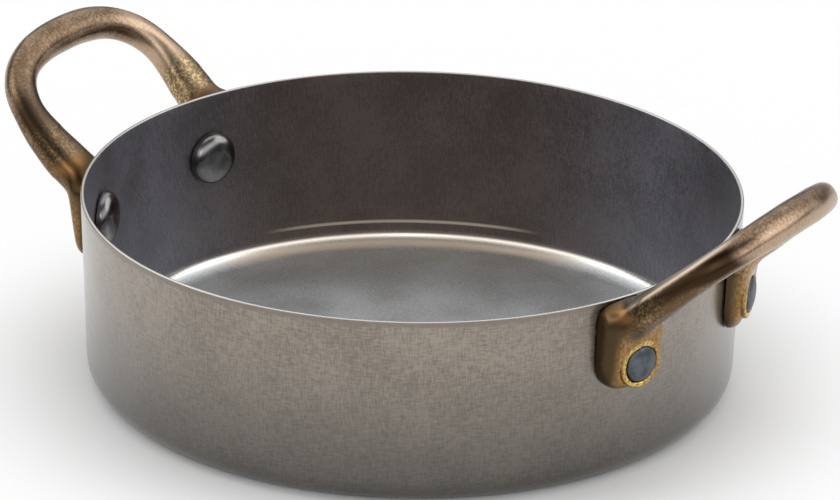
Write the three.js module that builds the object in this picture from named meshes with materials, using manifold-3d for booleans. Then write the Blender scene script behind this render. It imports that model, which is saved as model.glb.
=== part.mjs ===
// Small round casserole pan in sheet steel, with two cast loop handles riveted to its wall.
// Millimetres, +Z up. The origin is the centre of the underside of the base, and the handles lie along X.

import * as THREE from 'three';
import { mergeVertices } from 'three/addons/utils/BufferGeometryUtils.js';
import Module from 'manifold-3d';

// Pan: one drawn sheet
const PAN_DIAMETER = 120; // outside, at the rim
const PAN_HEIGHT = 35.5;
const SHEET = 0.8; // wall and base
const WALL_DRAFT = 2; // degrees that the wall leans out
const CORNER_RADIUS = 4.5; // outside, between base and wall
const RIM_EDGE = 0.25; // broken edges of the rim

// Fits
const SEAT_GAP = 0.3; // between faces that rest on each other
const HOLE_CLEARANCE = 0.3; // round a shank or an upset end, on the radius

// Rivets
const RIVET_SPACING = 36; // straight across, between the two rivets of a handle
const RIVET_DROP = 12.2; // from the rim down to the rivets
const SHANK_DIAMETER = 5;
const HEAD_DIAMETER = 9.8; // domed head inside the pan
const HEAD_EDGE = 0.5; // upright edge under the dome
const HEAD_RISE = 2; // height of the dome
const END_DIAMETER = 6.8; // upset end outside
const END_RISE = 0.5; // height of its low dome
const END_SUNK = 0.2; // its edge lies this far below the top of the ring

// Lugs: plates at the roots of a handle, one round each rivet
const LUG_WIDTH = 13.6;
const LUG_OFFSET = 0.9; // middle of the lug from its rivet, towards the outer side of the handle
const LUG_BELOW = 5.3; // from the rivet down to the bottom of the lug
const LUG_TOP_DROP = 0.9; // from the rim down to the top of the lug
const LUG_THICKNESS = 2.6; // at the rivet
const LUG_TAPER = 4; // degrees; thicker at the top
const LUG_CORNER = 5.8; // bottom corners
const OUTER_SHOULDER = 3; // top corner on the outer side of the handle
const INNER_SHOULDER = 6; // top corner beside the opening of the loop
const LUG_EDGE = 0.8; // rounding along its outer face
const LUG_WEB = 1.2; // metal left under the upset end
const RING_WIDTH = 1.15; // raised ring round the upset end
const RING_RISE = 0.5;

// Loop: a bar of oval section in a plane that leans up and out from the rim
const LOOP_LEAN = 41.1; // degrees above level
const LOOP_DROP = 2.7; // from the rim down to the middle of the bar, above the pan's wall
const LOOP_REACH = 24; // along the plane, from the wall to the middle of the bar
const ARM_OFFSET = 2.4; // middle of an arm from its rivet, at the root
const ARM_SPLAY = 9.6; // degrees that the arms open
const ARM_PULL = 14.1; // how far the arms hold their direction
const BEND_PULL = 21; // how far the end of the loop holds its direction
const ROOT_WIDTH = 11.2;
const ROOT_DEPTH = 4;
const ARM_WIDTH = 7.1;
const ARM_DEPTH = 5.2;
const BEND_WIDTH = 6.8;
const BEND_DEPTH = 6.4;

// Facets
const PAN_FACETS = 84;
const ARC_STEPS = 3;
const EDGE_STEPS = 2;
const RIVET_FACETS = 20;
const LOOP_STEPS = 16; // along half the loop
const LOOP_SIDES = 16;
const MERGE_DISTANCE = 1e-4; // points closer than this are one point

// Finishes
const STEEL = { color: 0x8c837a, roughness: 0.45, metalness: 1 };
const BRASS = { color: 0x8f7650, roughness: 0.4, metalness: 1 };
const RIVET_STEEL = { color: 0x6f757b, roughness: 0.35, metalness: 1 };

const wasm = await Module();
wasm.setup();

const { degToRad, smoothstep } = THREE.MathUtils;
const draft = degToRad(WALL_DRAFT);
const rimRadius = PAN_DIAMETER / 2;
const rivetHeight = PAN_HEIGHT - RIVET_DROP;
const rivetRadius = wallRadius(rivetHeight);
const rivetAngle = Math.asin(RIVET_SPACING / 2 / rivetRadius);
const ringTop = LUG_THICKNESS + RING_RISE;
const sinkFloor = SEAT_GAP + LUG_WEB;
const sinkRadius = END_DIAMETER / 2 + HOLE_CLEARANCE;
const holeRadius = SHANK_DIAMETER / 2 + HOLE_CLEARANCE;
const through = 2 * (SHEET + ringTop + SHANK_DIAMETER); // long enough to pass a wall and a lug

// Outside radius of the wall at a height.
function wallRadius(height) {
  return rimRadius - (PAN_HEIGHT - height) * Math.tan(draft);
}

// How far a circle falls away from its tangent, at a distance to the side.
function fallAway(radius, aside) {
  return radius - Math.sqrt(radius * radius - aside * aside);
}

// A closed solid from a geometry, moved by a matrix if one is given.
function solidOf(geometry, matrix = new THREE.Matrix4()) {
  const bare = geometry.clone().applyMatrix4(matrix);
  bare.deleteAttribute('normal');
  bare.deleteAttribute('uv');
  const { attributes, index } = mergeVertices(bare, MERGE_DISTANCE);
  const triangles = [];
  for (let i = 0; i < index.count; i += 3) {
    const [a, b, c] = [index.getX(i), index.getX(i + 1), index.getX(i + 2)];
    if (a !== b && b !== c && c !== a) triangles.push(a, b, c);
  }
  const vertProperties = Float32Array.from(attributes.position.array);
  const triVerts = Uint32Array.from(triangles);
  return new wasm.Manifold(new wasm.Mesh({ numProp: 3, vertProperties, triVerts }));
}

// The geometry of a solid, with its flat facets.
function geometryOf(solid) {
  const { vertProperties, triVerts } = solid.getMesh();
  const geometry = new THREE.BufferGeometry();
  geometry.setAttribute('position', new THREE.BufferAttribute(Float32Array.from(vertProperties), 3));
  geometry.setIndex(new THREE.BufferAttribute(Uint32Array.from(triVerts), 1));
  const flat = geometry.toNonIndexed();
  flat.computeVertexNormals();
  return flat;
}

// A turned solid about Z, from a profile of radius and height.
function turnedUp(path, facets) {
  return new THREE.LatheGeometry(path.getPoints(ARC_STEPS), facets).rotateX(Math.PI / 2);
}

// A turned solid about X, from a profile of radius and distance along X.
function turnedOut(path, facets) {
  return new THREE.LatheGeometry(path.getPoints(ARC_STEPS), facets).rotateZ(-Math.PI / 2);
}

// Place of a rivet: X points out of the wall, Y along it and Z up it, from the outer face of the wall.
function rivetFrame(angle) {
  const frame = new THREE.Group();
  frame.position.set(rivetRadius * Math.cos(angle), rivetRadius * Math.sin(angle), rivetHeight);
  frame.rotation.set(0, draft, angle, 'ZYX');
  frame.updateMatrix();
  return frame;
}

// A round bar along X, centred on the wall, for holes.
function holeBar(radius, start, length) {
  const bar = new THREE.CylinderGeometry(radius, radius, length, RIVET_FACETS);
  return bar.rotateZ(-Math.PI / 2).translate(start + length / 2, 0, 0);
}

function panGeometry() {
  const lean = (CORNER_RADIUS + (PAN_HEIGHT - CORNER_RADIUS) * Math.sin(draft)) / Math.cos(draft);
  const cornerX = rimRadius - lean;
  const innerRim = rimRadius - SHEET / Math.cos(draft);
  const profile = new THREE.Path();
  profile.moveTo(0, 0);
  profile.lineTo(cornerX, 0);
  profile.absarc(cornerX, CORNER_RADIUS, CORNER_RADIUS, -Math.PI / 2, -draft, false);
  profile.lineTo(wallRadius(PAN_HEIGHT - RIM_EDGE), PAN_HEIGHT - RIM_EDGE);
  profile.lineTo(rimRadius - RIM_EDGE, PAN_HEIGHT);
  profile.lineTo(innerRim + RIM_EDGE, PAN_HEIGHT);
  profile.lineTo(innerRim, PAN_HEIGHT - RIM_EDGE);
  profile.absarc(cornerX, CORNER_RADIUS, CORNER_RADIUS - SHEET, -draft, -Math.PI / 2, true);
  profile.lineTo(0, SHEET);
  let pan = solidOf(turnedUp(profile, PAN_FACETS));
  for (const turn of [0, Math.PI]) {
    for (const side of [1, -1]) {
      const bar = holeBar(holeRadius, -through / 2, through);
      pan = pan.subtract(solidOf(bar, rivetFrame(turn + side * rivetAngle).matrix));
    }
  }
  return geometryOf(pan);
}

function rivetGeometry() {
  const headRadius = HEAD_DIAMETER / 2;
  const endRadius = END_DIAMETER / 2;
  const headSeat = -SHEET - SEAT_GAP - fallAway(rivetRadius - SHEET, headRadius);
  const endSeat = sinkFloor + SEAT_GAP;
  const endEdge = ringTop - END_SUNK;
  const profile = new THREE.Path();
  profile.moveTo(0, headSeat - HEAD_EDGE - HEAD_RISE);
  profile.absellipse(0, headSeat - HEAD_EDGE, headRadius, HEAD_RISE, -Math.PI / 2, 0, false);
  profile.lineTo(headRadius, headSeat);
  profile.lineTo(SHANK_DIAMETER / 2, headSeat);
  profile.lineTo(SHANK_DIAMETER / 2, endSeat);
  profile.lineTo(endRadius, endSeat);
  profile.lineTo(endRadius, endEdge);
  profile.absellipse(0, endEdge, endRadius, END_RISE, 0, Math.PI / 2, false);
  return geometryOf(solidOf(turnedOut(profile, RIVET_FACETS)));
}

// Oval sections along the loop, from one root round to the other, joined into one closed bar.
function loopGeometry() {
  const lean = degToRad(LOOP_LEAN);
  const splay = degToRad(ARM_SPLAY);
  const outward = new THREE.Vector3(Math.cos(lean), 0, Math.sin(lean));
  const sideways = new THREE.Vector3(0, 1, 0);
  const upward = new THREE.Vector3(-Math.sin(lean), 0, Math.cos(lean));
  const start = new THREE.Vector3(rimRadius, 0, PAN_HEIGHT - LOOP_DROP);
  const rootSide = RIVET_SPACING / 2 + ARM_OFFSET;
  const rootEdge = rootSide + ROOT_WIDTH / 2;
  const rootLength = (fallAway(rimRadius, rootEdge) + SHEET) / Math.cos(lean);
  const arm = new THREE.CubicBezierCurve(
    new THREE.Vector2(0, rootSide),
    new THREE.Vector2(ARM_PULL * Math.cos(splay), rootSide + ARM_PULL * Math.sin(splay)),
    new THREE.Vector2(LOOP_REACH, BEND_PULL),
    new THREE.Vector2(LOOP_REACH, 0),
  );
  const swell = (along, root, middle, bend) =>
    root + (middle - root) * smoothstep(along, 0, 0.5) + (bend - middle) * smoothstep(along, 0.5, 1);
  const stations = [];
  for (let step = -1; step <= LOOP_STEPS; step += 1) {
    const along = Math.max(step, 0) / LOOP_STEPS;
    const middle = arm.getPoint(along);
    const heading = arm.getTangent(along);
    if (step < 0) middle.addScaledVector(heading, -rootLength);
    const width = swell(along, ROOT_WIDTH, ARM_WIDTH, BEND_WIDTH);
    const depth = swell(along, ROOT_DEPTH, ARM_DEPTH, BEND_DEPTH);
    stations.push({ middle, heading, width, depth });
  }
  for (const { middle, heading, width, depth } of stations.slice(0, -1).reverse()) {
    const mirrored = new THREE.Vector2(middle.x, -middle.y);
    stations.push({ middle: mirrored, heading: new THREE.Vector2(-heading.x, heading.y), width, depth });
  }
  const points = [];
  for (const { middle, heading, width, depth } of stations) {
    for (let side = 0; side < LOOP_SIDES; side += 1) {
      const turn = (2 * Math.PI * side) / LOOP_SIDES;
      const across = (width / 2) * Math.cos(turn);
      const point = start.clone();
      point.addScaledVector(outward, middle.x - heading.y * across);
      point.addScaledVector(sideways, middle.y + heading.x * across);
      point.addScaledVector(upward, (depth / 2) * Math.sin(turn));
      points.push(...point.toArray());
    }
  }
  const last = (stations.length - 1) * LOOP_SIDES;
  const faces = [];
  for (let side = 0; side < LOOP_SIDES; side += 1) {
    const next = (side + 1) % LOOP_SIDES;
    for (let ring = 0; ring < last; ring += LOOP_SIDES) {
      const far = ring + LOOP_SIDES;
      faces.push(ring + side, far + next, far + side, ring + side, ring + next, far + next);
    }
    if (side > 0 && side < LOOP_SIDES - 1) {
      faces.push(0, next, side, last, last + side, last + next);
    }
  }
  const geometry = new THREE.BufferGeometry();
  geometry.setAttribute('position', new THREE.Float32BufferAttribute(points, 3));
  geometry.setIndex(faces);
  return geometry;
}

// Plate round one rivet, in the rivet's frame; its inner part is cut away to the wall.
function lugGeometry(side) {
  const middle = side * LUG_OFFSET;
  const [left, right] = [middle - LUG_WIDTH / 2, middle + LUG_WIDTH / 2];
  const top = (RIVET_DROP - LUG_TOP_DROP) / Math.cos(draft);
  const [leftTop, rightTop] = side > 0 ? [INNER_SHOULDER, OUTER_SHOULDER] : [OUTER_SHOULDER, INNER_SHOULDER];
  const outline = new THREE.Shape();
  outline.moveTo(left + LUG_CORNER, -LUG_BELOW);
  outline.absarc(right - LUG_CORNER, LUG_CORNER - LUG_BELOW, LUG_CORNER, -Math.PI / 2, 0, false);
  outline.absarc(right - rightTop, top - rightTop, rightTop, 0, Math.PI / 2, false);
  outline.absarc(left + leftTop, top - leftTop, leftTop, Math.PI / 2, Math.PI, false);
  outline.absarc(left + LUG_CORNER, LUG_CORNER - LUG_BELOW, LUG_CORNER, Math.PI, Math.PI * 1.5, false);
  const tipped = Math.max(top, LUG_BELOW) * Math.sin(degToRad(LUG_TAPER));
  const rooted = SHEET + fallAway(rivetRadius, LUG_WIDTH / 2 + LUG_OFFSET) + LUG_EDGE + tipped;
  const plate = new THREE.ExtrudeGeometry(outline, {
    depth: rooted + LUG_THICKNESS - LUG_EDGE,
    curveSegments: ARC_STEPS,
    bevelThickness: LUG_EDGE,
    bevelSize: LUG_EDGE,
    bevelOffset: -LUG_EDGE,
    bevelSegments: EDGE_STEPS,
  });
  plate.translate(0, 0, -rooted - LUG_THICKNESS);
  const axes = [new THREE.Vector3(0, 1, 0), new THREE.Vector3(0, 0, 1), new THREE.Vector3(1, 0, 0)];
  plate.applyMatrix4(new THREE.Matrix4().makeBasis(...axes));
  return plate.rotateY(degToRad(LUG_TAPER)).translate(LUG_THICKNESS, 0, 0);
}

// Raised ring on a lug, with sloping sides.
function ringGeometry() {
  const outer = sinkRadius + RING_WIDTH;
  const profile = new THREE.Path();
  profile.moveTo(0, 0);
  profile.lineTo(outer, 0);
  profile.lineTo(outer, LUG_THICKNESS);
  profile.lineTo(outer - RING_RISE, ringTop);
  profile.lineTo(0, ringTop);
  return turnedOut(profile, RIVET_FACETS);
}

// Everything inside the seat of a handle: the pan's outer wall, carried on above the rim.
function wallCutter() {
  const above = PAN_HEIGHT + LOOP_REACH;
  const profile = new THREE.Path();
  profile.moveTo(0, 0);
  profile.lineTo(wallRadius(0) + SEAT_GAP, 0);
  profile.lineTo(wallRadius(above) + SEAT_GAP, above);
  profile.lineTo(0, above);
  return turnedUp(profile, PAN_FACETS);
}

function handleGeometry() {
  let handle = solidOf(loopGeometry());
  const frames = [1, -1].map((side) => [side, rivetFrame(side * rivetAngle).matrix]);
  for (const [side, matrix] of frames) {
    handle = handle.add(solidOf(lugGeometry(side), matrix)).add(solidOf(ringGeometry(), matrix));
  }
  handle = handle.subtract(solidOf(wallCutter()));
  for (const [, matrix] of frames) {
    handle = handle.subtract(solidOf(holeBar(holeRadius, -through / 2, through), matrix));
    handle = handle.subtract(solidOf(holeBar(sinkRadius, sinkFloor, through), matrix));
  }
  return geometryOf(handle);
}

function named(name, geometry, finish) {
  const mesh = new THREE.Mesh(geometry, new THREE.MeshStandardMaterial(finish));
  mesh.name = name;
  return mesh;
}

const dish = new THREE.Group();
dish.add(named('pan_body', panGeometry(), STEEL));
for (const [name, turn] of [['right', 0], ['left', Math.PI]]) {
  const side = new THREE.Group();
  side.rotation.z = turn;
  side.add(named(`handle_${name}`, handleGeometry(), BRASS));
  const front = name === 'right' ? -1 : 1;
  for (const [place, sign] of [['front', front], ['back', -front]]) {
    const frame = rivetFrame(sign * rivetAngle);
    frame.add(named(`rivet_${name}_${place}`, rivetGeometry(), RIVET_STEEL));
    side.add(frame);
  }
  dish.add(side);
}

export default dish;
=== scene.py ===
import math

import bmesh
import bpy
import numpy as np
from mathutils import Matrix, Vector, noise


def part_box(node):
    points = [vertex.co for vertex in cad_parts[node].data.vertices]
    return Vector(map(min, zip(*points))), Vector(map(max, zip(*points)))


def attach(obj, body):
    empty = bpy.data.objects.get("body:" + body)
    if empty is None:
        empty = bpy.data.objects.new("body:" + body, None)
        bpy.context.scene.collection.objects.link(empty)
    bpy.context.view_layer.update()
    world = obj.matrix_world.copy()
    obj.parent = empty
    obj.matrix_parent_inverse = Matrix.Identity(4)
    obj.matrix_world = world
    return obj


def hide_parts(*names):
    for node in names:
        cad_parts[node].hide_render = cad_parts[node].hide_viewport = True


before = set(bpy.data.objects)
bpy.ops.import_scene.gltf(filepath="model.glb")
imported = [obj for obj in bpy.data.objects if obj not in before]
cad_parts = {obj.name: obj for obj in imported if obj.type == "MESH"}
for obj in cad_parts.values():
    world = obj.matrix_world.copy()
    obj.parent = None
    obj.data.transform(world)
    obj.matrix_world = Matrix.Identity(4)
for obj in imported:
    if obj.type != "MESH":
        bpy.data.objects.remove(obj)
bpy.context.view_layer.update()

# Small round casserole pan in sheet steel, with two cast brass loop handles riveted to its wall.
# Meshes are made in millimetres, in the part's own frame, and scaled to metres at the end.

MM = 0.001
pan_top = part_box("pan_body")[1] / MM

# Pan: one drawn sheet
RIM_RADIUS = pan_top.x
PAN_HEIGHT = pan_top.z
SHEET = 0.8
DRAFT = math.radians(2)
CORNER_RADIUS = 4.5
RIM_EDGE = 0.3
PAN_FACETS = 288
FLOOR_STEP = 4.5
WALL_STEP = 1.6
ARC_STEPS = 10
RIM_STEPS = 4
WAVE_SIZE = 14
WAVE_DEPTH = 0.08

# Fits
SEAT_GAP = 0.3
HEAD_GAP = 0.06
HOLE_CLEARANCE = 0.3
END_CLEARANCE = 0.12

# Rivets
RIVET_SPACING = 36
RIVET_DROP = 12.2
SHANK_DIAMETER = 5
HEAD_DIAMETER = 9.8
HEAD_EDGE = 0.5
HEAD_RISE = 2
HEAD_SQUARENESS = 1.6
END_DIAMETER = 6.6
END_RISE = 0.9
END_SUNK = 0.2
EDGE_ROUND = 0.2
RIVET_FACETS = 72
DENT_SIZE = 2.2
DENT_DEPTH = 0.02

# Lugs at the roots of a handle
LUG_WIDTH = 13.6
LUG_OFFSET = 0.9
LUG_BELOW = {"front": 5.3, "back": 6.6}
LUG_TOP_DROP = {"front": 1, "back": 2.3}
LUG_THICKNESS = 3
LUG_TAPER = math.radians(6)
LUG_CORNER = {"front": 5.2, "back": 4.2}
LUG_EDGE = 2
OUTER_SHOULDER = {"front": 2.4, "back": 4.2}
INNER_SHOULDER = 6
LUG_WEB = 1.2
RING_WIDTH = 1.15
RING_RISE = 0.5

# Loop of a handle
LOOP_LEAN = math.radians(41.1)
LOOP_DROP = 2.7
LOOP_REACH = 24
ARM_OFFSET = 2.4
ARM_SPLAY = math.radians(9.6)
ARM_PULL = 14.1
BEND_PULL = 21
ROOT_WIDTH = 9
ROOT_DEPTH = 6.4
ARM_WIDTH = 5.7
ARM_DEPTH = 5.4
BEND_WIDTH = 6.4
BEND_DEPTH = 6.2
ROOT_SQUARENESS = 0.7
ARM_SQUARENESS = 0.4
BEND_SQUARENESS = 0.2
# Shares of the way from a root to the middle of the bend where the root ends and the bend begins
ROOT_END = 0.4
BEND_START = 0.5
LOOP_STEPS = 48
LOOP_SIDES = 36

# Casting
VOXEL = 0.25
SMOOTHING_STEP = 0.5
CAST_SMOOTHING = 6
HOLLOW_FILLING = 180
ROOT_SMOOTHING = 30
ROOT_REACH = 7
SLIT_REACH = 0.9
LAST_SMOOTHING = 4
CAST_WAVE_SIZE = 6
CAST_WAVE_DEPTH = 0.1
SHARP_ANGLE = math.radians(35)

# Camera in the photograph's view, in radians and metres, with its lens in millimetres
CAMERA_AZIMUTH = math.radians(-57.77)
CAMERA_DISTANCE = 1.1702
CAMERA_HEIGHT = 0.5157
CAMERA_PITCH = 0.39782
CAMERA_YAW = 0.00131
CAMERA_ROLL = -0.0162
CAMERA_LENS = 300
SENSOR_WIDTH = 36

# Stage, in metres
FLOOR_RADIUS = 4
FLOOR_FACETS = 64
FLOOR_WHITE = (0.92, 0.92, 0.92, 1)
FLOOR_GLOW = 0.9
GLOW_REACH = (0.057, 0.095)
ROOM_LEVEL = 0.12
# Soft lights: degrees round from behind the object to its right, degrees up, degrees wide, and level
LIGHTS = {
    "back": (0, 60, 55, 1.1),
    "left": (-80, 30, 28, 1.85),
    "right": (80, 30, 28, 1.75),
    "front": (180, 24, 12, 1.5),
}
# Low wide light along the front: degrees up where it starts, is full, fades and ends, cosines of the
# angle from the camera's side where it starts and is full, and its level
FRONT_RISE = (2, 18, 26, 58)
FRONT_FACING = (-0.2, 0.4)
FRONT_LEVEL = 1.3

# Worked out from the sizes above
wall_height = PAN_HEIGHT - CORNER_RADIUS
corner_centre = RIM_RADIUS - (CORNER_RADIUS + wall_height * math.sin(DRAFT)) / math.cos(DRAFT)
rivet_height = PAN_HEIGHT - RIVET_DROP
ring_top = LUG_THICKNESS + RING_RISE
sink_floor = SEAT_GAP + LUG_WEB
sink_radius = END_DIAMETER / 2 + END_CLEARANCE
hole_radius = SHANK_DIAMETER / 2 + HOLE_CLEARANCE
hole_length = 4 * SHANK_DIAMETER
loop_out = Vector((math.cos(LOOP_LEAN), 0, math.sin(LOOP_LEAN)))
loop_side = Vector((0, 1, 0))
loop_up = Vector((-math.sin(LOOP_LEAN), 0, math.cos(LOOP_LEAN)))
loop_start = Vector((RIM_RADIUS, 0, PAN_HEIGHT - LOOP_DROP))


def wall_radius(height):
    """Outside radius of the pan's wall at a height."""
    return RIM_RADIUS - (PAN_HEIGHT - height) * math.tan(DRAFT)


def wall_gap(point):
    """How far outside the pan's wall a point lies."""
    return math.hypot(point.x, point.y) - wall_radius(point.z)


rivet_radius = wall_radius(rivet_height)
rivet_angle = math.asin(RIVET_SPACING / 2 / rivet_radius)
rivet_places = {
    "right_front": -rivet_angle,
    "right_back": rivet_angle,
    "left_front": math.pi + rivet_angle,
    "left_back": math.pi - rivet_angle,
}


def rivet_frame(angle):
    """Place of a rivet: X points out of the wall, Y along it and Z up it, from the wall's outer face."""
    across = (rivet_radius * math.cos(angle), rivet_radius * math.sin(angle), rivet_height)
    turn = Matrix.Rotation(angle, 4, "Z") @ Matrix.Rotation(DRAFT, 4, "Y")
    return Matrix.Translation(across) @ turn


into_rivet_frames = [rivet_frame(angle).inverted() for angle in rivet_places.values()]


# Outline helpers

def spaced(start, end, step):
    """Even places from start to end, about a step apart, both ends included."""
    count = max(1, round(abs(end - start) / step))
    return [start + (end - start) * i / count for i in range(count + 1)]


def oval_arc(centre, radii, start, end, steps=ARC_STEPS):
    """Points of an arc of an oval, angles in radians."""
    turns = [start + (end - start) * i / steps for i in range(steps + 1)]
    return [(centre[0] + radii[0] * math.cos(t), centre[1] + radii[1] * math.sin(t)) for t in turns]


def arc(centre, radius, start, end, steps=ARC_STEPS):
    """Points of an arc of a circle, angles in radians."""
    return oval_arc(centre, (radius, radius), start, end, steps)


def rounded(value, square):
    """Cosine or sine of a rounded square outline; 0 is a plain oval."""
    return math.copysign(abs(value) ** (2 / (2 + square)), value)


def fall_away(radius, aside):
    """How far a circle falls away from its tangent, at a distance to the side."""
    return radius - math.sqrt(radius * radius - aside * aside)


def smooth_share(value, low, high):
    """0 below low, 1 above high, and a smooth step between them."""
    share = min(1, max(0, (value - low) / (high - low)))
    return share * share * (3 - 2 * share)


# Mesh helpers

def loft(bm, rings):
    """Joins rings of points, all with as many points, into a skin."""
    made = [[bm.verts.new(point) for point in ring] for ring in rings]
    count = len(made[0])
    for first, second in zip(made, made[1:]):
        for i in range(count):
            j = (i + 1) % count
            bm.faces.new((first[i], first[j], second[j], second[i]))
    return made


def capped_loft(rings):
    """A solid through rings of points, closed at both ends."""
    bm = bmesh.new()
    made = loft(bm, rings)
    bm.faces.new(made[0])
    bm.faces.new(made[-1])
    bmesh.ops.recalc_face_normals(bm, faces=bm.faces)
    return bm


def turned(profile, facets):
    """A solid turned about Z from points of radius and height that start and end on the axis."""
    bm = bmesh.new()
    turns = [2 * math.pi * i / facets for i in range(facets)]
    rings = [[(r * math.cos(t), r * math.sin(t), z) for t in turns] for r, z in profile[1:-1]]
    made = loft(bm, rings)
    for ring, (_, height) in ((made[0], profile[0]), (made[-1], profile[-1])):
        pole = bm.verts.new((0, 0, height))
        for i in range(facets):
            bm.faces.new((ring[i], ring[(i + 1) % facets], pole))
    bmesh.ops.recalc_face_normals(bm, faces=bm.faces)
    return bm


def turned_out(profile, facets):
    """The same, turned about X, from points of radius and distance along X."""
    bm = turned(profile, facets)
    bmesh.ops.transform(bm, matrix=Matrix.Rotation(math.pi / 2, 4, "Y"), verts=bm.verts)
    return bm


def mesh_object(name, bm, matrix=None):
    """A scene object from a bmesh, moved by a matrix if one is given."""
    if matrix is not None:
        bmesh.ops.transform(bm, matrix=matrix, verts=bm.verts)
    mesh = bpy.data.meshes.new(name)
    bm.to_mesh(mesh)
    bm.free()
    made = bpy.data.objects.new(name, mesh)
    bpy.context.scene.collection.objects.link(made)
    return made


def settle(piece):
    """Applies a piece's modifiers to its mesh."""
    graph = bpy.context.evaluated_depsgraph_get()
    mesh = bpy.data.meshes.new_from_object(piece.evaluated_get(graph))
    old = piece.data
    piece.modifiers.clear()
    piece.data = mesh
    mesh.name = piece.name
    bpy.data.meshes.remove(old)


def combine(piece, tool, operation):
    """Joins a tool to a piece or cuts it out of it, and removes the tool."""
    modifier = piece.modifiers.new("combine", "BOOLEAN")
    modifier.object = tool
    modifier.operation = operation
    modifier.solver = "EXACT"
    settle(piece)
    old = tool.data
    bpy.data.objects.remove(tool)
    bpy.data.meshes.remove(old)


def even_skin(piece):
    """Makes a piece one closed skin of small even faces."""
    modifier = piece.modifiers.new("remesh", "REMESH")
    modifier.mode = "VOXEL"
    modifier.voxel_size = VOXEL
    settle(piece)


def move_points(mesh, places):
    """Puts the points of a mesh in new places."""
    for vertex, place in zip(mesh.vertices, places):
        vertex.co = place
    mesh.update()


def push(mesh, size, depth, inward=False):
    """Moves points along their normals by soft noise, or only inward, so that a surface isn't perfect."""
    places = []
    for vertex in mesh.vertices:
        wave = noise.noise(vertex.co / size)
        if inward:
            wave = (wave - 1) / 2
        places.append(vertex.co + vertex.normal * depth * wave)
    move_points(mesh, places)


def grow(mesh, depth):
    """Moves every point out along its normal, or in if the depth is negative."""
    move_points(mesh, [vertex.co + vertex.normal * depth for vertex in mesh.vertices])


def close_slits(piece, reach):
    """Grows a piece, gives it a new skin and shrinks it back, which closes narrow slits."""
    grow(piece.data, reach)
    even_skin(piece)
    grow(piece.data, -reach)


def soften(mesh, rounds, reach=math.inf):
    """Evens out a mesh, or only the part of it within reach of the wall."""
    bm = bmesh.new()
    bm.from_mesh(mesh)
    near = [vertex for vertex in bm.verts if wall_gap(vertex.co) < reach]
    axes = {"use_axis_x": True, "use_axis_y": True, "use_axis_z": True}
    for _ in range(rounds):
        bmesh.ops.smooth_vert(bm, verts=near, factor=SMOOTHING_STEP, **axes)
    bm.to_mesh(mesh)
    bm.free()


def fill_hollows(mesh, rounds):
    """Lifts points whose neighbours stand higher, which rounds out inner corners and leaves ridges."""
    count = len(mesh.vertices)
    ends = np.empty(2 * len(mesh.edges), dtype=np.int64)
    mesh.edges.foreach_get("vertices", ends)
    first, second = ends[0::2], ends[1::2]
    links = np.bincount(ends, minlength=count)[:, None]
    places = np.empty(3 * count)
    normals = np.empty(3 * count)
    for _ in range(rounds):
        mesh.vertices.foreach_get("co", places)
        mesh.vertices.foreach_get("normal", normals)
        spots = places.reshape(-1, 3)
        outward = normals.reshape(-1, 3)
        total = np.zeros_like(spots)
        np.add.at(total, first, spots[second])
        np.add.at(total, second, spots[first])
        lift = ((total / links - spots) * outward).sum(axis=1).clip(min=0)
        mesh.vertices.foreach_set("co", (spots + outward * lift[:, None]).ravel())
        mesh.update()


def paint(mesh, **marks):
    """Stores values for the materials at each point of a mesh, worked out from its place by formulas."""
    for name, formula in marks.items():
        layer = mesh.attributes.new(name, "FLOAT", "POINT")
        for vertex, spot in zip(mesh.vertices, layer.data):
            spot.value = formula(vertex.co)


# Pan. The spans of its marks give where a mark begins and is full, or where it fades and is gone.

# Heat stain, in cosines of the angle from its middle
STAIN_TURN = math.radians(2)
STAIN_SPAN = (0.55, 1)
# Polish in the inner corner, in shares of the corner's radius
POLISH_START = (0.34, 0.57)
POLISH_END = (0.64, 0.74)


def pan_profile():
    """Radius and height of points round the sheet, from the middle of its underside to its floor's."""
    inner_rim = RIM_RADIUS - SHEET / math.cos(DRAFT)
    rim_height = PAN_HEIGHT - RIM_EDGE
    quarter = math.pi / 2
    corner_middle = (corner_centre, CORNER_RADIUS)
    outside = [(r, 0) for r in spaced(0, corner_centre, FLOOR_STEP)]
    outside += arc(corner_middle, CORNER_RADIUS, -quarter, -DRAFT)[1:]
    foot = outside[-1][1]
    outside += [(wall_radius(z), z) for z in spaced(foot, rim_height, WALL_STEP)[1:]]
    rim = arc((wall_radius(rim_height) - RIM_EDGE, rim_height), RIM_EDGE, 0, quarter, RIM_STEPS)[1:]
    rim += arc((inner_rim + RIM_EDGE, rim_height), RIM_EDGE, quarter, math.pi, RIM_STEPS)
    corner = arc(corner_middle, CORNER_RADIUS - SHEET, -DRAFT, -quarter)
    corner_radius, corner_height = corner[0]
    slope = (inner_rim - corner_radius) / (rim_height - corner_height)
    heights = spaced(rim_height, corner_height, WALL_STEP)[1:-1]
    inside = [(inner_rim - (rim_height - z) * slope, z) for z in heights]
    floor = [(r, SHEET) for r in spaced(corner_centre, 0, FLOOR_STEP)[1:]]
    return outside + rim + inside + corner + floor


def wall_hole():
    """What is bored out of the pan's wall for a rivet."""
    half = hole_length / 2
    return turned_out([(0, -half), (hole_radius, -half), (hole_radius, half), (0, half)], RIVET_FACETS)


def inside_share(point):
    """1 on the inner faces of the sheet, 0 on the outer ones."""
    radius = math.hypot(point.x, point.y)
    if point.z < CORNER_RADIUS and radius > corner_centre:
        from_centre = math.hypot(radius - corner_centre, point.z - CORNER_RADIUS)
        return float(from_centre < CORNER_RADIUS - SHEET / 2)
    return float(radius < wall_radius(point.z) - SHEET / 2 and point.z > SHEET / 2)


def corner_share(point):
    """1 on the polished middle of the inner corner between wall and floor, fading out on both sides."""
    rise = point.z / CORNER_RADIUS
    return inside_share(point) * smooth_share(rise, *POLISH_START) * (1 - smooth_share(rise, *POLISH_END))


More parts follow.
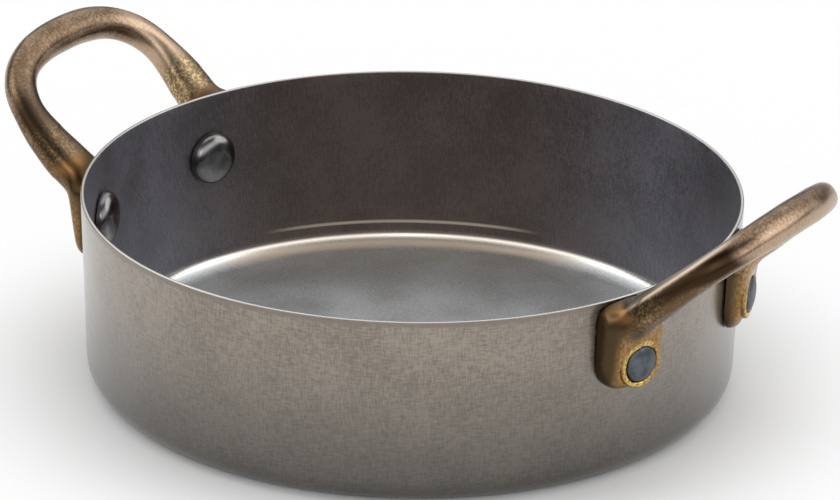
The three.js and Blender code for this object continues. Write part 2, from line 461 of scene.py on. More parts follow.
def stain_share(point):
    """1 at the back of the pan, where heat has left a brown tint, 0 at its sides and front."""
    angle = math.atan2(point.y, point.x) - CAMERA_AZIMUTH - math.pi - STAIN_TURN
    return smooth_share(math.cos(angle), *STAIN_SPAN)


def make_pan():
    pan = mesh_object("pan_body_fine", turned(pan_profile(), PAN_FACETS))
    push(pan.data, WAVE_SIZE, WAVE_DEPTH, inward=True)
    for angle in rivet_places.values():
        combine(pan, mesh_object("hole", wall_hole(), rivet_frame(angle)), "DIFFERENCE")
    paint(pan.data, inside=inside_share, corner=corner_share, stain=stain_share)
    return pan


# Rivets

def rivet_profile():
    """Radius and distance along X of points from the top of the head to the top of the upset end."""
    head = HEAD_DIAMETER / 2
    end = END_DIAMETER / 2
    shank = SHANK_DIAMETER / 2
    head_seat = -SHEET - HEAD_GAP - fall_away(rivet_radius - SHEET, head)
    head_edge = head_seat - HEAD_EDGE
    end_seat = sink_floor + SEAT_GAP
    end_edge = ring_top - END_SUNK
    dome = arc((0, 0), 1, -math.pi / 2, 0)
    points = [(head * rounded(c, HEAD_SQUARENESS), head_edge + HEAD_RISE * s) for c, s in dome]
    points += [(head, head_seat - EDGE_ROUND), (head - EDGE_ROUND, head_seat)]
    points += [(shank, head_seat), (shank, end_seat), (end, end_seat)]
    points += oval_arc((0, end_edge), (end, END_RISE), 0, math.pi / 2)
    return [(max(r, 0), x) for r, x in points]


def outside_share(point):
    """1 on the end that shows outside the pan, 0 on the head inside it."""
    return float(wall_gap(point) > 0)


def make_rivet(name, angle):
    rivet = mesh_object(name, turned_out(rivet_profile(), RIVET_FACETS), rivet_frame(angle))
    push(rivet.data, DENT_SIZE, DENT_DEPTH)
    paint(rivet.data, outside=outside_share)
    return rivet


# Handles

def loop_middle(share):
    """Place and heading of the bar in the plane of the loop: distance out from the wall and to the side."""
    root_side = RIVET_SPACING / 2 + ARM_OFFSET
    a = Vector((0, root_side))
    b = Vector((ARM_PULL * math.cos(ARM_SPLAY), root_side + ARM_PULL * math.sin(ARM_SPLAY)))
    c = Vector((LOOP_REACH, BEND_PULL))
    d = Vector((LOOP_REACH, 0))
    rest = 1 - share
    place = a * rest ** 3 + b * 3 * rest ** 2 * share + c * 3 * rest * share ** 2 + d * share ** 3
    heading = (b - a) * rest ** 2 + (c - b) * 2 * rest * share + (d - c) * share ** 2
    return place, heading.normalized()


def along_bar(share, root, arm, bend):
    """A size of the bar part of the way from a root to the middle of the bend."""
    from_root = (arm - root) * smooth_share(share, 0, ROOT_END)
    return root + from_root + (bend - arm) * smooth_share(share, BEND_START, 1)


def loop_stations():
    """Middle, heading, width, depth and squareness of the sections from one root to the other."""
    inward = fall_away(RIM_RADIUS, RIVET_SPACING / 2 + ARM_OFFSET + ROOT_WIDTH / 2) + SHEET
    half = []
    for step in range(-1, LOOP_STEPS + 1):
        share = max(step, 0) / LOOP_STEPS
        place, heading = loop_middle(share)
        if step < 0:
            place = place - heading * inward / math.cos(LOOP_LEAN)
        width = along_bar(share, ROOT_WIDTH, ARM_WIDTH, BEND_WIDTH)
        depth = along_bar(share, ROOT_DEPTH, ARM_DEPTH, BEND_DEPTH)
        square = along_bar(share, ROOT_SQUARENESS, ARM_SQUARENESS, BEND_SQUARENESS)
        half.append((place, heading, width, depth, square))
    other = []
    for place, heading, *sizes in reversed(half[:-1]):
        other.append((Vector((place.x, -place.y)), Vector((-heading.x, heading.y)), *sizes))
    return half + other


def loop_bmesh():
    """The bent bar of a handle, which starts and ends inside the wall."""
    turns = [2 * math.pi * i / LOOP_SIDES for i in range(LOOP_SIDES)]
    rings = []
    for place, heading, width, depth, square in loop_stations():
        middle = loop_start + loop_out * place.x + loop_side * place.y
        across = (loop_side * heading.x - loop_out * heading.y) * width / 2
        rise = loop_up * depth / 2
        shape = [(rounded(math.cos(t), square), rounded(math.sin(t), square)) for t in turns]
        rings.append([middle + across * c + rise * s for c, s in shape])
    return capped_loft(rings)


def lug_outline(side, inset):
    """Outline of a lug in its rivet's frame, along the wall and up it, drawn in by inset."""
    end = "back" if side > 0 else "front"
    left = side * LUG_OFFSET - LUG_WIDTH / 2
    right = side * LUG_OFFSET + LUG_WIDTH / 2
    top = (RIVET_DROP - LUG_TOP_DROP[end]) / math.cos(DRAFT)
    corner = LUG_CORNER[end]
    low = corner - LUG_BELOW[end]
    shoulders = (OUTER_SHOULDER[end], INNER_SHOULDER)
    left_top, right_top = reversed(shoulders) if side > 0 else shoulders
    corners = [
        (right - corner, low, corner),
        (right - right_top, top - right_top, right_top),
        (left + left_top, top - left_top, left_top),
        (left + corner, low, corner),
    ]
    outline = []
    for quarter, (y, z, radius) in enumerate(corners):
        start = (quarter - 1) * math.pi / 2
        outline += arc((y, z), radius - inset, start, start + math.pi / 2)
    return outline


def lug_bmesh(side):
    """Plate round one rivet, in the rivet's frame; its inner part is cut away to the wall later."""
    back = -SHEET - fall_away(rivet_radius, LUG_WIDTH / 2 + LUG_OFFSET) - 2 * LUG_THICKNESS
    levels = [(back, 0)] + arc((-LUG_EDGE, LUG_EDGE), LUG_EDGE, -math.pi / 2, 0)
    bm = capped_loft([[(x, y, z) for y, z in lug_outline(side, inset)] for x, inset in levels])
    tip = Matrix.Translation((LUG_THICKNESS, 0, 0)) @ Matrix.Rotation(LUG_TAPER, 4, "Y")
    bmesh.ops.transform(bm, matrix=tip, verts=bm.verts)
    return bm


def ring_bmesh():
    """Raised ring on a lug, with a rounded top."""
    half = RING_WIDTH / 2
    top = oval_arc((sink_radius + half, LUG_THICKNESS), (half, RING_RISE), 0, math.pi)
    profile = [(0, 0), (sink_radius + RING_WIDTH, 0)] + top + [(0, LUG_THICKNESS)]
    return turned_out(profile, RIVET_FACETS)


def sunk_hole():
    """What is bored out of a lug: a rivet's hole and the wider seat of its end."""
    start = -hole_length / 2
    end = sink_floor + hole_length
    profile = [(0, start), (hole_radius, start), (hole_radius, sink_floor)]
    profile += [(sink_radius, sink_floor), (sink_radius, end), (0, end)]
    return turned_out(profile, RIVET_FACETS)


def wall_bmesh():
    """Everything inside the seat of a handle: the pan's outer wall, carried on above the rim."""
    top = PAN_HEIGHT + LOOP_REACH
    profile = [(0, 0), (wall_radius(0) + SEAT_GAP, 0), (wall_radius(top) + SEAT_GAP, top), (0, top)]
    return turned(profile, PAN_FACETS)


def make_handle(name):
    """The right handle: loop and lugs run into one soft casting, then ringed, cut to the wall and bored."""
    frames = [(side, rivet_frame(side * rivet_angle)) for side in (1, -1)]
    cast = mesh_object(name, loop_bmesh())
    for side, place in frames:
        combine(cast, mesh_object("lug", lug_bmesh(side), place), "UNION")
    even_skin(cast)
    soften(cast.data, CAST_SMOOTHING)
    fill_hollows(cast.data, HOLLOW_FILLING)
    soften(cast.data, ROOT_SMOOTHING, ROOT_REACH)
    close_slits(cast, SLIT_REACH)
    even_skin(cast)
    soften(cast.data, LAST_SMOOTHING)
    soften(cast.data, ROOT_SMOOTHING, ROOT_REACH)
    push(cast.data, CAST_WAVE_SIZE, CAST_WAVE_DEPTH)
    for _, place in frames:
        combine(cast, mesh_object("ring", ring_bmesh(), place), "UNION")
    combine(cast, mesh_object("wall", wall_bmesh()), "DIFFERENCE")
    for _, place in frames:
        combine(cast, mesh_object("hole", sunk_hole(), place), "DIFFERENCE")
    return cast


def half_turn_copy(piece, name):
    """The same casting for the other side of the pan."""
    made = piece.copy()
    made.name = name
    made.data = piece.data.copy()
    made.data.transform(Matrix.Rotation(math.pi, 4, "Z"))
    bpy.context.scene.collection.objects.link(made)
    return made


# Marks on the handles. Spans run out along the loop, in shares of its reach, or up the bar, in its depths.

# Underside and bend that a hand rubs
HELD_START = (0.5, 1)
UNDER_END = (-0.3, 0.3)
TOP_HELD = 0.28
# Painted dark reflection along the sides of the front arms
DARK_REFLECTION_LOW = -0.3
DARK_REFLECTION_FADE = 0.25
DARK_REFLECTION_TOP = (0.2, 0.42)
DARK_REFLECTION_RISE = {"right": 0, "left": 0.2}
DARK_REFLECTION_DROP = {"right": 0.3, "left": 0}
DARK_REFLECTION_DROP_START = (0.5, 0.85)
DARK_REFLECTION_END = {"right": (0.9, 1), "left": (0.55, 0.85)}
# Bare ridges on top of the arms, worn and with a painted highlight
WEAR_HIGHLIGHT_RIDGE = (0.28, 0.42)
WEAR_HIGHLIGHT_START = (-0.1, 0.1)
WEAR_HIGHLIGHT_END = (0.85, 1)
WEAR_HIGHLIGHT_LEVEL = {"right": 1, "left": 0.05}
# Painted orange reflection on top of the roots, the first two in millimetres below the rim
ROOT_REFLECTION_START = (-1.5, 0)
ROOT_REFLECTION_END = (1, 3.5)
ROOT_REFLECTION_FADE = (0, 0.15)
# Bright grain at the roots
GILT_START = (0, 0.1)
GILT_END = (0.25, 0.5)
FRONT_GILT = 0.15
# Faces of the lugs, in shares of a lug's thickness
FACE_START = (0.35, 0.8)
FACE_END = (0, 2.2)
# Painted shade on one edge of the lugs, in shares of a lug's width and of the rivet's depth below the rim
SHADE_EDGE = (-0.5, -0.32)
SHADE_TOP = (0.6, 0.8)
# Worn rings, with painted shade on one side, in shares of a ring's width and of the sink's radius
RING_END = (0.6, 1)
RING_SHADE = 0.8
RING_SHADE_START = (0.3, 0.9)


def handle_side(point):
    return "right" if point.x > 0 else "left"


def loop_place(point):
    """How far out along its loop a point of either handle lies, as a share, and how far above its plane."""
    place = Vector((abs(point.x), point.y, point.z)) - loop_start
    return place.dot(loop_out) / LOOP_REACH, place.dot(loop_up)


def nearest_rivet(point):
    """A point in the frame of the rivet that is closest to it."""
    return min((turn @ point for turn in into_rivet_frames), key=lambda place: place.length)


def back_share(point):
    """1 on the back arms of the handles, 0 on their front arms."""
    return smooth_share(point.y, -RIVET_SPACING / 4, RIVET_SPACING / 4)


def grime_and_shade_share(point):
    """Dirt and painted shade: 1 where a handle meets the wall, fading out over the thickness of its lugs.
    """
    return 1 - smooth_share(wall_gap(point), SEAT_GAP, SEAT_GAP + LUG_THICKNESS)


def handled_and_lit_share(point):
    """1 on the back arms, as painted light, and under the bend that a hand holds, where it is rubbed, less
    on its top; 0 on the front arms.
    """
    out, up = loop_place(point)
    below = 1 - smooth_share(up / BEND_DEPTH, *UNDER_END)
    bend = smooth_share(out, *HELD_START) * (TOP_HELD + (1 - TOP_HELD) * below)
    return max(bend, smooth_share(point.y, RIVET_SPACING / 4, RIVET_SPACING / 2))


def dark_reflection_share(point):
    """Painted dark reflection: 1 along the sides of the front arms, 0 on their top; it runs further on the
    right handle.
    """
    side = handle_side(point)
    out, up = loop_place(point)
    rise = up / ARM_DEPTH - DARK_REFLECTION_RISE[side]
    low = DARK_REFLECTION_LOW - DARK_REFLECTION_DROP[side] * smooth_share(out, *DARK_REFLECTION_DROP_START)
    flank = smooth_share(rise, low, low + DARK_REFLECTION_FADE) - smooth_share(rise, *DARK_REFLECTION_TOP)
    along = 1 - smooth_share(out, *DARK_REFLECTION_END[side])
    return flank * along * (1 - back_share(point))


def wear_and_highlight_share(point):
    """1 along the top of the arms, where the brass is rubbed bare and a highlight is painted, less on the
    left handle.
    """
    out, up = loop_place(point)
    ridge = smooth_share(up / ARM_DEPTH, *WEAR_HIGHLIGHT_RIDGE)
    along = smooth_share(out, *WEAR_HIGHLIGHT_START) - smooth_share(out, *WEAR_HIGHLIGHT_END)
    return ridge * along * WEAR_HIGHLIGHT_LEVEL[handle_side(point)]


def root_reflection_share(point):
    """1 on top of the roots, close to the rim, where an orange reflection is painted."""
    out, _ = loop_place(point)
    drop = PAN_HEIGHT - point.z
    top = smooth_share(drop, *ROOT_REFLECTION_START) - smooth_share(drop, *ROOT_REFLECTION_END)
    return top * (1 - smooth_share(out, *ROOT_REFLECTION_FADE))


def gilt_share(point):
    """1 at the roots of the back arms, where the casting's grain is bright, less at the front ones."""
    out, _ = loop_place(point)
    root = smooth_share(out, *GILT_START) - smooth_share(out, *GILT_END)
    return root * (FRONT_GILT + (1 - FRONT_GILT) * back_share(point))


def face_share(point):
    """1 on the faces of the lugs close round the rings, 0 on their sides and above them."""
    nearest = nearest_rivet(point)
    aside = math.hypot(nearest.y, nearest.z) - sink_radius - RING_WIDTH
    front = smooth_share(wall_gap(point) / LUG_THICKNESS, *FACE_START)
    return front * (1 - smooth_share(aside / LUG_THICKNESS, *FACE_END))


def shade_share(point):
    """Painted shade: 1 on one edge of each lug, which makes it darker than the other."""
    nearest = nearest_rivet(point)
    edge = 1 - smooth_share(nearest.y / LUG_WIDTH, *SHADE_EDGE)
    return edge * (1 - smooth_share(nearest.z / RIVET_DROP, *SHADE_TOP))


def ring_share(point):
    """1 on the raised worn rings round the rivets, fading on one side as painted shade."""
    nearest = nearest_rivet(point)
    aside = math.hypot(nearest.y, nearest.z)
    inner = smooth_share(aside, sink_radius - END_CLEARANCE, sink_radius)
    outer = 1 - smooth_share((aside - sink_radius) / RING_WIDTH, *RING_END)
    ring_unshaded = 1 - RING_SHADE * smooth_share(nearest.y / sink_radius, *RING_SHADE_START)
    return inner * outer * ring_unshaded * float(nearest.x > LUG_THICKNESS / 2)


HANDLE_MARKS = {
    "grime_and_shade": grime_and_shade_share,
    "handled_and_lit": handled_and_lit_share,
    "ring": ring_share,
    "gilt": gilt_share,
    "dark_reflection": dark_reflection_share,
    "wear_and_highlight": wear_and_highlight_share,
    # root: a painted orange reflection on top of the roots
    "root": root_reflection_share,
    "face": face_share,
    "shade": shade_share,
}


# Material helpers

def fill_inputs(tree, made, inputs):
    """Links or sets inputs of a node."""
    for key, value in inputs.items():
        if isinstance(value, bpy.types.NodeSocket):
            tree.links.new(value, made.inputs[key])
        else:
            made.inputs[key].default_value = value


def node(tree, kind, inputs=None, **settings):
    """Adds a node, sets its options, and links or sets its inputs."""
    made = tree.nodes.new(kind)
    for key, value in settings.items():
        setattr(made, key, value)
    fill_inputs(tree, made, inputs or {})
    return made


def grain(tree, place, size, detail=2):
    """Noise whose spots measure size, in millimetres along X, Y and Z."""
    stretch = {0: place, 1: [1 / (s * MM) for s in size]}
    scaled = node(tree, "ShaderNodeVectorMath", stretch, operation="MULTIPLY").outputs[0]
    return node(tree, "ShaderNodeTexNoise", {"Vector": scaled, "Scale": 1, "Detail": detail}).outputs["Fac"]


def span(tree, value, low, high, start=0, end=1):
    """A value's place between low and high, as a smooth step from start to end."""
    inputs = {"Value": value, "From Min": low, "From Max": high, "To Min": start, "To Max": end}
    return node(tree, "ShaderNodeMapRange", inputs, interpolation_type="SMOOTHSTEP").outputs["Result"]


def blended(tree, factor, first, second, kind="MIX"):
    """A colour between two colours, or their product."""
    inputs = {0: factor, 6: first, 7: second}
    return node(tree, "ShaderNodeMix", inputs, data_type="RGBA", blend_type=kind).outputs[2]


def between(tree, factor, first, second):
    """A number between two numbers."""
    return node(tree, "ShaderNodeMix", {0: factor, 2: first, 3: second}).outputs[0]


def calc(tree, first, operation, second):
    """A sum, difference, product or the like of two numbers."""
    return node(tree, "ShaderNodeMath", {0: first, 1: second}, operation=operation).outputs[0]


def stored(tree, name):
    """A value painted on the mesh."""
    return node(tree, "ShaderNodeAttribute", attribute_name=name).outputs["Fac"]


def bumps(tree, height, strength, depth):
    """Fine relief from noise, with its depth in millimetres."""
    inputs = {"Height": height, "Strength": strength, "Distance": depth * MM}
    return node(tree, "ShaderNodeBump", inputs).outputs[0]


def new_material(name):
    """A new material, with its node tree, its shader and the place on the object."""
    material = bpy.data.materials.new(name)
    material.use_nodes = True
    tree = material.node_tree
    shader = tree.nodes["Principled BSDF"]
    place = node(tree, "ShaderNodeTexCoord").outputs["Object"]
    return material, tree, shader, place


# Steel of the pan: sizes of grain and heights in millimetres, spans and levels of noise, and colours

UPRIGHT_GRAIN = (0.3, 0.3, 1.6)
LEVEL_GRAIN = (1.6, 1.6, 0.3)
FINE_GRAIN = (0.4, 0.4, 0.4)
SHEET_CLOUD = (12, 12, 12)
SHEET_CLOUD_DETAIL = 3
BRUSH_STRENGTH = 0.15
BRUSH_DEPTH = 0.04
COAT_ROUGH = 0.22
COAT_IOR = 1.85
# Outer face
PATCH_SPAN = (0.2, 0.8)
PATCH_LEVEL = (0, 0.25)
OUTER_SPAN = (0.75, 1.5)
OUTER_DARK = (0.1, 0.078, 0.053, 1)
OUTER_LIGHT = (0.228, 0.188, 0.145, 1)
# Painted shade, darker low down
OUTER_SHADE = (0.4, 1.4)
OUTER_ROUGH_SPAN = (0.7, 1.3)
OUTER_ROUGH = (0.38, 0.52)
# Painted shade: a brown band under the rim
BAND_SPAN = (PAN_HEIGHT - 1.4, PAN_HEIGHT - 0.7)
BAND_LEVEL = (0, 0.7)
BAND_SHADE_BROWN = (0.16, 0.125, 0.09, 1)
# Rim
RIM_SPAN = (PAN_HEIGHT - 0.7 * RIM_EDGE, PAN_HEIGHT - 0.2 * RIM_EDGE)
RIM_BRIGHT = (0.55, 0.53, 0.5, 1)
RIM_ROUGH = 0.25
# Inner faces
INNER_SPAN = (1.1, 1.9)
INNER_ROUGH = (0.45, 0.54)
WALL_START = (2.6, 3.2)
WALL_GREY = (0.225, 0.22, 0.245, 1)
WALL_BROWN = (0.135, 0.105, 0.09, 1)
WALL_LEVEL = (0.84, 1.2)
# Painted reflection of the bright corner in the wall: a tan line above it
LINE_START = (5, 5.3)
LINE_END = (5.5, 5.9)
LINE_STAIN = (0.85, 0.99)
REFLECTED_LINE_TAN = (0.6, 0.5, 0.39, 1)
FLOOR_DARK = (0.56, 0.58, 0.585, 1)
FLOOR_LIGHT = (0.79, 0.82, 0.84, 1)
# Painted reflection of the brown wall: a tan edge on the floor next to the corner
EDGE_START = (0.85, 1.3)
EDGE_STAIN = (0.4, 0.95)
REFLECTED_EDGE_TAN = (0.7, 0.58, 0.46, 1)
POLISH_GREY = (0.7, 0.69, 0.68, 1)
POLISH_TAN = (0.85, 0.78, 0.67, 1)
POLISH_ROUGH = 0.18


def outer_steel(tree, height, weave, cloud):
    """Colour of the outer face: brushed both ways, with painted shade darker low down and in a brown band
    at the rim.
    """
    patches = span(tree, cloud, *PATCH_SPAN, *PATCH_LEVEL)
    tone = span(tree, calc(tree, weave, "ADD", patches), *OUTER_SPAN)
    brushed = blended(tree, tone, OUTER_DARK, OUTER_LIGHT)
    shaded = blended(tree, 1, brushed, span(tree, height, 0, PAN_HEIGHT, *OUTER_SHADE), "MULTIPLY")
    return blended(tree, span(tree, height, *BAND_SPAN, *BAND_LEVEL), shaded, BAND_SHADE_BROWN)


def inner_wall(tree, height, tone, stain):
    """Colour of the inner wall: grey, brown where heat has tinted it, with a painted reflection of the
    bright corner as a tan line above it.
    """
    tint = blended(tree, stain, WALL_GREY, WALL_BROWN)
    toned = blended(tree, 1, tint, span(tree, tone, 0, 1, *WALL_LEVEL), "MULTIPLY")
    line = calc(tree, span(tree, height, *LINE_START), "SUBTRACT", span(tree, height, *LINE_END))
    seen = calc(tree, line, "MULTIPLY", span(tree, stain, *LINE_STAIN))
    return blended(tree, seen, toned, REFLECTED_LINE_TAN)


def inner_floor(tree, height, tone, stain):
    """Colour of the scoured floor, with a painted reflection of the brown, heat-tinted wall as a tan edge
    next to it.
    """
    scoured = blended(tree, tone, FLOOR_DARK, FLOOR_LIGHT)
    edge = calc(tree, span(tree, height, *EDGE_START), "MULTIPLY", span(tree, stain, *EDGE_STAIN))
    return blended(tree, edge, scoured, REFLECTED_EDGE_TAN)


def inner_steel(tree, height, tone, corner):
    """Colour of the inside: the floor, the wall and the polished line between them."""
    stain = stored(tree, "stain")
    floor = inner_floor(tree, height, tone, stain)
    wall = inner_wall(tree, height, tone, stain)
    plain = blended(tree, span(tree, height, *WALL_START), floor, wall)
    return blended(tree, corner, plain, blended(tree, stain, POLISH_GREY, POLISH_TAN))


def steel_material():
    material, tree, shader, place = new_material("pan steel")
    inside = stored(tree, "inside")
    corner = stored(tree, "corner")
    height = calc(tree, node(tree, "ShaderNodeSeparateXYZ", {0: place}).outputs["Z"], "DIVIDE", MM)
    rim = span(tree, height, *RIM_SPAN)
    upright = grain(tree, place, UPRIGHT_GRAIN)
    weave = calc(tree, upright, "ADD", grain(tree, place, LEVEL_GRAIN))
    cloud = grain(tree, place, SHEET_CLOUD, SHEET_CLOUD_DETAIL)
    scratches = calc(tree, grain(tree, place, FINE_GRAIN), "ADD", upright)
    tone = span(tree, calc(tree, scratches, "ADD", cloud), *INNER_SPAN)
    outer = outer_steel(tree, height, weave, cloud)
    inner = inner_steel(tree, height, tone, corner)
    outer_rough = span(tree, weave, *OUTER_ROUGH_SPAN, *OUTER_ROUGH)
    inner_rough = between(tree, corner, span(tree, tone, 0, 1, *INNER_ROUGH), POLISH_ROUGH)
    fill_inputs(tree, shader, {
        "Metallic": 1,
        "Base Color": blended(tree, rim, blended(tree, inside, outer, inner), RIM_BRIGHT),
        "Roughness": between(tree, rim, between(tree, inside, outer_rough, inner_rough), RIM_ROUGH),
        "Normal": bumps(tree, weave, BRUSH_STRENGTH, BRUSH_DEPTH),
        "Coat Weight": calc(tree, 1, "SUBTRACT", inside),
        "Coat Roughness": COAT_ROUGH,
        "Coat IOR": COAT_IOR,
    })
    return material


# Brass of the handles: sizes of grain in millimetres, spans and levels of noise, and colours

BRASS_CLOUD = (6, 6, 6)
BRASS_CLOUD_DETAIL = 4
BRASS_SPECK = (0.5, 0.5, 0.5)
BRASS_SPECK_DETAIL = 3
MOTTLE_SPAN = (0.6, 1.4)
MOTTLE_LEVEL = (-0.4, 0.4)
HANDLED_AND_LIT_SPAN = (-0.2, 1.2)
BRASS_DARK = (0.125, 0.075, 0.038, 1)
# Rubbed brass, also used as painted light on the back arms
BRASS_RUBBED_AND_LIT = (0.5, 0.36, 0.25, 1)
BRASS_ROUGH_SPAN = (0.3, 0.7)
BRASS_ROUGH = (0.24, 0.38)
CAST_STRENGTH = 0.12
CAST_DEPTH = 0.05
# Painted dark reflection along the sides of the front arms
DARK_REFLECTION_BROWN = (0.045, 0.027, 0.014, 1)
# Bare brass, also a painted highlight on the ridges
BARE_BRASS_HIGHLIGHT = (0.62, 0.52, 0.42, 1)
REFLECTED_ORANGE = (0.24, 0.125, 0.05, 1)
GILT_SHARE = 0.6
GILT_GROUND = (0.13, 0.088, 0.045, 1)
SPARKLE_SPAN = (0.45, 0.65)
SPARKLE_GOLD = (0.6, 0.44, 0.21, 1)
# Dirt and painted shade where a handle meets the wall
GRIME_AND_SHADE_BROWN = (0.075, 0.046, 0.022, 1)
FACE_SPAN = (0.35, 0.65)
FACE_DARK = (0.23, 0.125, 0.045, 1)
FACE_LIGHT = (0.42, 0.25, 0.095, 1)
# Painted shade on one edge of each lug
SHADE_BROWN = (0.075, 0.05, 0.026, 1)
SCUFF_SPAN = (0.35, 0.6)
SCUFF_LEVEL = (0.2, 1)
RING_GOLD = (0.72, 0.52, 0.17, 1)


def brass_material():
    material, tree, shader, place = new_material("handle brass")
    cloud = grain(tree, place, BRASS_CLOUD, BRASS_CLOUD_DETAIL)
    speck = grain(tree, place, BRASS_SPECK, BRASS_SPECK_DETAIL)
    mottle = span(tree, calc(tree, cloud, "ADD", speck), *MOTTLE_SPAN, *MOTTLE_LEVEL)
    # Lighter where a hand rubs the bends, and painted light that makes the back arms lighter
    tone = span(tree, calc(tree, stored(tree, "handled_and_lit"), "ADD", mottle), *HANDLED_AND_LIT_SPAN)
    gilt = stored(tree, "gilt")
    sparkle = span(tree, grain(tree, place, BRASS_SPECK), *SPARKLE_SPAN)
    face = blended(tree, span(tree, speck, *FACE_SPAN), FACE_DARK, FACE_LIGHT)
    scuffs = span(tree, speck, *SCUFF_SPAN, *SCUFF_LEVEL)
    layers = [
        # Painted dark reflection on the front arms
        (stored(tree, "dark_reflection"), DARK_REFLECTION_BROWN),
        # Worn ridges with a painted highlight
        (stored(tree, "wear_and_highlight"), BARE_BRASS_HIGHLIGHT),
        # Painted orange reflection on top of the roots
        (stored(tree, "root"), REFLECTED_ORANGE),
        (calc(tree, gilt, "MULTIPLY", GILT_SHARE), GILT_GROUND),
        (calc(tree, gilt, "MULTIPLY", sparkle), SPARKLE_GOLD),
        # Dirt and painted shade where the handles meet the wall
        (stored(tree, "grime_and_shade"), GRIME_AND_SHADE_BROWN),
        (stored(tree, "face"), face),
        (stored(tree, "shade"), SHADE_BROWN),
        # Worn rings, with painted shade on one side
        (calc(tree, stored(tree, "ring"), "MULTIPLY", scuffs), RING_GOLD),
    ]
    colour = blended(tree, tone, BRASS_DARK, BRASS_RUBBED_AND_LIT)
    for share, layer in layers:
        colour = blended(tree, share, colour, layer)
    fill_inputs(tree, shader, {
        "Metallic": 1,
        "Base Color": colour,
        "Roughness": span(tree, cloud, *BRASS_ROUGH_SPAN, *BRASS_ROUGH),
        "Normal": bumps(tree, speck, CAST_STRENGTH, CAST_DEPTH),
    })
    return material


# Steel of the rivets: size of the clouds in millimetres, span of the noise, and colours

RIVET_CLOUD = (2, 2, 2)
RIVET_CLOUD_DETAIL = 3
RIVET_SPAN = (0.3, 0.7)
HEAD_DARK = (0.18, 0.17, 0.166, 1)
HEAD_LIGHT = (0.26, 0.25, 0.246, 1)
HEAD_ROUGH = (0.14, 0.24)
END_DARK = (0.07, 0.08, 0.09, 1)
END_LIGHT = (0.13, 0.145, 0.16, 1)
END_ROUGH = 0.42


def rivet_material():
    material, tree, shader, place = new_material("rivet steel")
    outside = stored(tree, "outside")
    cloud = grain(tree, place, RIVET_CLOUD, RIVET_CLOUD_DETAIL)
    tone = span(tree, cloud, *RIVET_SPAN)
    head = blended(tree, tone, HEAD_DARK, HEAD_LIGHT)
    end = blended(tree, tone, END_DARK, END_LIGHT)
    head_rough = span(tree, cloud, *RIVET_SPAN, *HEAD_ROUGH)
    fill_inputs(tree, shader, {
        "Metallic": 1,
        "Base Color": blended(tree, outside, head, end),
        "Roughness": between(tree, outside, head_rough, END_ROUGH),
    })
    return material


# Stage, light and camera

def floor_material():
    """Plain white, partly shining by itself where it is seen, so that the shadow on it stays light."""
    material, tree, shader, place = new_material("floor")
    fill_inputs(tree, shader, {"Base Color": FLOOR_WHITE, "Roughness": 1, "Specular IOR Level": 0})
    rays = node(tree, "ShaderNodeLightPath").outputs
    seen = calc(tree, rays["Is Camera Ray"], "MAXIMUM", rays["Is Glossy Ray"])
    seen = calc(tree, seen, "MAXIMUM", rays["Is Transmission Ray"])
    away = node(tree, "ShaderNodeVectorMath", {0: place}, operation="LENGTH").outputs["Value"]
    share = calc(tree, seen, "MULTIPLY", span(tree, away, *GLOW_REACH, 0, FLOOR_GLOW))
    white = node(tree, "ShaderNodeEmission", {"Color": (1, 1, 1, 1), "Strength": 1}).outputs[0]
    mixed = node(tree, "ShaderNodeMixShader", {0: share, 1: shader.outputs[0], 2: white}).outputs[0]
    fill_inputs(tree, tree.nodes["Material Output"], {"Surface": mixed})
    return material


def make_floor():
    bm = bmesh.new()
    bmesh.ops.create_circle(bm, cap_ends=True, segments=FLOOR_FACETS, radius=FLOOR_RADIUS)
    floor = mesh_object("floor", bm)
    floor.data.materials.append(floor_material())


def facing(tree, direction, axis):
    """Cosine of the angle between a direction of the sky and an axis."""
    inputs = {0: direction, 1: axis}
    return node(tree, "ShaderNodeVectorMath", inputs, operation="DOT_PRODUCT").outputs["Value"]


def light_level(tree, direction, around, height, width, level):
    """A round soft light in the sky, full in its middle half."""
    azimuth = CAMERA_AZIMUTH + math.pi - math.radians(around)
    elevation = math.radians(height)
    edge = math.radians(width)
    flat = math.cos(elevation)
    axis = (flat * math.cos(azimuth), flat * math.sin(azimuth), math.sin(elevation))
    return span(tree, facing(tree, direction, axis), math.cos(edge), math.cos(edge / 2), 0, level)


def front_level(tree, direction):
    """A low band of light that runs half way round, on the side of the camera."""
    height = node(tree, "ShaderNodeSeparateXYZ", {0: direction}).outputs["Z"]
    start, full, fading, end = [math.sin(math.radians(rise)) for rise in FRONT_RISE]
    band = calc(tree, span(tree, height, start, full), "SUBTRACT", span(tree, height, fading, end))
    axis = (math.cos(CAMERA_AZIMUTH), math.sin(CAMERA_AZIMUTH), 0)
    level = span(tree, facing(tree, direction, axis), *FRONT_FACING, 0, FRONT_LEVEL)
    return calc(tree, band, "MULTIPLY", level)


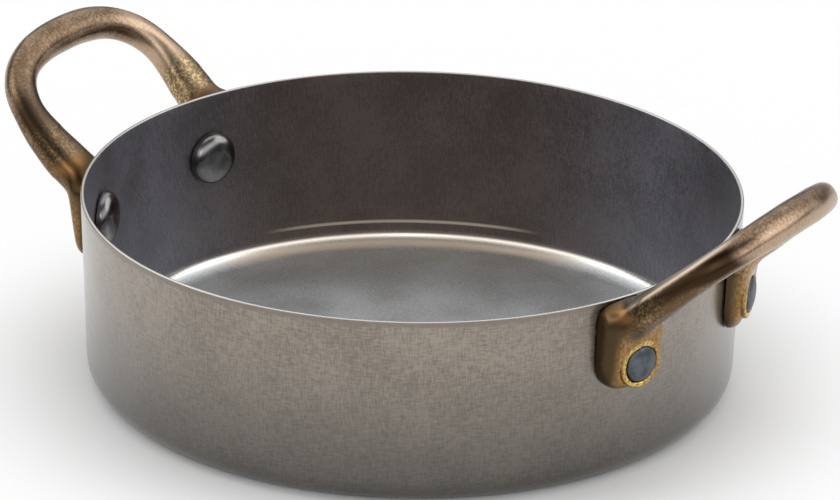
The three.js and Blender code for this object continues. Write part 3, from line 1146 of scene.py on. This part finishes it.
def make_world():
    world = bpy.data.worlds.new("studio")
    bpy.context.scene.world = world
    world.use_nodes = True
    tree = world.node_tree
    direction = node(tree, "ShaderNodeTexCoord").outputs["Generated"]
    total = calc(tree, front_level(tree, direction), "ADD", ROOM_LEVEL)
    for light in LIGHTS.values():
        total = calc(tree, light_level(tree, direction, *light), "ADD", total)
    fill_inputs(tree, tree.nodes["Background"], {"Color": (1, 1, 1, 1), "Strength": total})


def make_camera():
    data = bpy.data.cameras.new("camera")
    data.lens = CAMERA_LENS
    data.sensor_width = SENSOR_WIDTH
    camera = bpy.data.objects.new("camera", data)
    bpy.context.scene.collection.objects.link(camera)
    toward = CAMERA_AZIMUTH + math.pi - CAMERA_YAW
    level = Vector((math.cos(toward), math.sin(toward), 0))
    forward = level * math.cos(CAMERA_PITCH) - Vector((0, 0, math.sin(CAMERA_PITCH)))
    right = level.cross(Vector((0, 0, 1)))
    down = forward.cross(right)
    rolled_right = right * math.cos(CAMERA_ROLL) + down * math.sin(CAMERA_ROLL)
    rolled_down = down * math.cos(CAMERA_ROLL) - right * math.sin(CAMERA_ROLL)
    turn = Matrix((rolled_right, -rolled_down, -forward)).transposed()
    stand = Vector((math.cos(CAMERA_AZIMUTH), math.sin(CAMERA_AZIMUTH), 0)) * CAMERA_DISTANCE
    stand.z = CAMERA_HEIGHT
    camera.matrix_world = Matrix.Translation(stand) @ turn.to_4x4()
    bpy.context.scene.camera = camera


# Assembly

def finish_piece(piece, node_name, material):
    """Brings a finished mesh to metres and puts it in its node's place."""
    piece.data.transform(Matrix.Scale(MM, 4))
    piece.data.shade_smooth()
    piece.data.set_sharp_from_angle(angle=SHARP_ANGLE)
    piece.data.materials.clear()
    piece.data.materials.append(material)
    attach(piece, "root")
    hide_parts(node_name)


bpy.context.scene.view_settings.view_transform = "Standard"
make_camera()
make_world()
make_floor()

finish_piece(make_pan(), "pan_body", steel_material())
brass = brass_material()
right_handle = make_handle("handle_right_fine")
left_handle = half_turn_copy(right_handle, "handle_left_fine")
for handle in (right_handle, left_handle):
    paint(handle.data, **HANDLE_MARKS)
finish_piece(right_handle, "handle_right", brass)
finish_piece(left_handle, "handle_left", brass)
rivet_steel = rivet_material()
for place_name, angle in rivet_places.items():
    rivet = make_rivet(f"rivet_{place_name}_fine", angle)
    finish_piece(rivet, f"rivet_{place_name}", rivet_steel)
